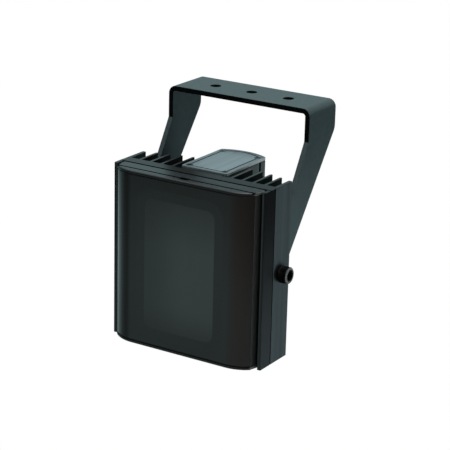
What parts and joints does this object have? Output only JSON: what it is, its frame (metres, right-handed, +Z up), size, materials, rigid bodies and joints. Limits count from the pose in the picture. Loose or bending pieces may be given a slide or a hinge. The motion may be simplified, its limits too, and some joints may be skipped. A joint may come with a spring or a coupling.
{
  "type": "infrared illuminator",
  "caption": "Finned infrared flood lamp with a curved dark window, a rear power box and a folded steel bracket it tilts in.",
  "frame": {"origin": "centre of the bracket's mounting face, on the middle hole's axis", "axes": "+Z up out of the mounting face, -Y the way the window faces, +X to the right as one faces the window"},
  "size_m": [0.1506, 0.1196, 0.2065],
  "materials": {
    "bracket_coat": "dark slate powder coat, fine satin",
    "head_coat": "dark grey anodised, extruded",
    "window_dark": "smoked infrared filter, polished",
    "cap_grey": "dark grey, fine satin",
    "box_metal": "silver anodised, lightly brushed",
    "seal_rubber": "black",
    "screw_steel": "bright zinc",
    "pivot_steel": "black oxide",
    "washer_nylon": "black nylon",
    "board_white": "white solder mask on metal core",
    "emitter_resin": "clear yellowish resin",
    "frame_black": "black moulded",
    "diffuser_frost": "frosted",
    "pad_grey": "soft thermal sheet",
    "board_green": "green solder mask",
    "can_sleeve": "dark shrunk sleeve",
    "coil_copper": "enamelled copper wire",
    "terminal_green": "moulded",
    "gland_black": "black moulded nylon"
  },
  "bodies": {
    "bracket": {"u_bracket": "bracket_coat", "pivot_screws": "pivot_steel", "pivot_washers": "washer_nylon"},
    "head": {"heat_sink": "head_coat", "front_window": "window_dark", "window_rail_right": "head_coat", "window_rail_left": "head_coat", "window_side_seals": "seal_rubber", "rail_screws": "screw_steel", "top_cap": "cap_grey", "bottom_cap": "cap_grey", "top_cap_seal": "seal_rubber", "bottom_cap_seal": "seal_rubber", "thermal_pad": "pad_grey", "led_board": "board_white", "led_emitters": "emitter_resin", "light_frame": "frame_black", "diffuser_plate": "diffuser_frost", "light_engine_screws": "screw_steel", "box_shell": "box_metal", "box_top_plate": "box_metal", "box_bottom_plate": "box_metal", "box_top_seal": "seal_rubber", "box_bottom_seal": "seal_rubber", "box_top_screws": "screw_steel", "box_bottom_screws": "screw_steel", "box_fixing_screws": "screw_steel", "box_fixing_nuts": "screw_steel", "driver_board": "board_green", "driver_capacitors": "can_sleeve", "driver_coil": "coil_copper", "terminal_block": "terminal_green", "wire_grommet": "seal_rubber", "gland_body": "gland_black", "gland_dome": "gland_black", "gland_locknut": "gland_black"}
  },
  "joints": [
    {"name": "tilt", "type": "hinge", "parent": "bracket", "child": "head", "pos_m": [0, -0.0617, -0.1175], "axis": [1, 0, 0], "range_deg": [-25, 130]}
  ]
}
